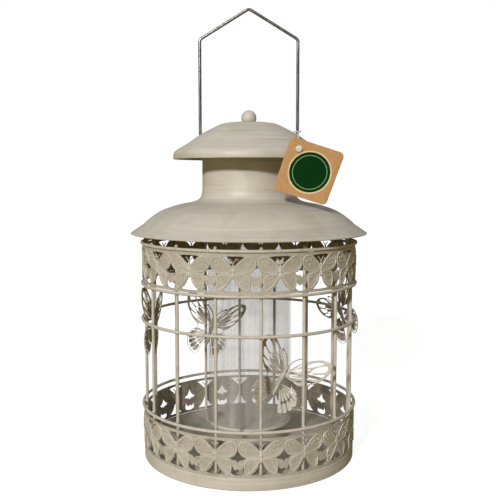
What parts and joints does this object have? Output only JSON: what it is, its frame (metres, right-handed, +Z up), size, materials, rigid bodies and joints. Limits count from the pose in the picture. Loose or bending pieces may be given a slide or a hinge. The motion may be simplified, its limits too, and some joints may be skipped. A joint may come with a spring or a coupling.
{
  "type": "hanging caged bird feeder",
  "caption": "Hanging seed feeder: clear tube in a wire cage with pierced butterfly bands, domed roof with neck, lifting lid, wire bail and swing tag.",
  "frame": {"origin": "middle of the underside of the tray's foot, at the bounding box's bottom centre", "axes": "+Z up along the feeder's axis, front towards -Y, +X to the viewer's right"},
  "size_m": [0.188, 0.188, 0.3554],
  "materials": {
    "cream_paint": "cream paint brushed over grey-brown, streaked and worn through on edges",
    "bail_wire": "bright drawn steel wire, slightly dulled",
    "clear_plastic": "clear moulded plastic tube with faint vertical draw lines",
    "zinc": "zinc plated",
    "kraft_card": "uncoated brown kraft card, fibrous",
    "nylon": "translucent white nylon"
  },
  "bodies": {
    "root": {"seed_tray": "cream_paint", "wire_01": "cream_paint", "wire_02": "cream_paint", "wire_03": "cream_paint", "wire_04": "cream_paint", "wire_05": "cream_paint", "wire_06": "cream_paint", "wire_07": "cream_paint", "wire_08": "cream_paint", "wire_09": "cream_paint", "wire_10": "cream_paint", "wire_11": "cream_paint", "wire_12": "cream_paint", "wire_13": "cream_paint", "wire_14": "cream_paint", "wire_15": "cream_paint", "wire_16": "cream_paint", "ring_lower": "cream_paint", "ring_middle": "cream_paint", "ring_upper": "cream_paint", "ring_top": "cream_paint", "band_lower": "cream_paint", "band_upper": "cream_paint", "tube_seat": "cream_paint", "seat_rivet_1": "zinc", "seat_rivet_2": "zinc", "seat_rivet_3": "zinc", "seed_tube": "clear_plastic", "roof": "cream_paint", "roof_bracket_right": "cream_paint", "roof_bracket_left": "cream_paint", "butterfly_front": "cream_paint", "butterfly_rear": "cream_paint", "butterfly_left": "cream_paint", "butterfly_right": "cream_paint"},
    "bail": {"bail": "bail_wire"},
    "lid": {"lid": "cream_paint", "finial_ball": "cream_paint", "finial_nut": "zinc", "tag_loop": "nylon"},
    "tag": {"tag_card": "kraft_card"}
  },
  "joints": [
    {"name": "bail_swing", "type": "hinge", "parent": "root", "child": "bail", "pos_m": [0, 0, 0.243], "axis": [1, 0, 0], "range_deg": [-4, 4]},
    {"name": "lid_lift", "type": "slide", "parent": "bail", "child": "lid", "axis": [0, 0, 1], "range_m": [0, 0.068]},
    {"name": "tag_swing", "type": "hinge", "parent": "lid", "child": "tag", "pos_m": [0.036, -0.057, 0.244], "axis": [0, -0.9703, -0.2419], "range_deg": [0, 60]}
  ]
}
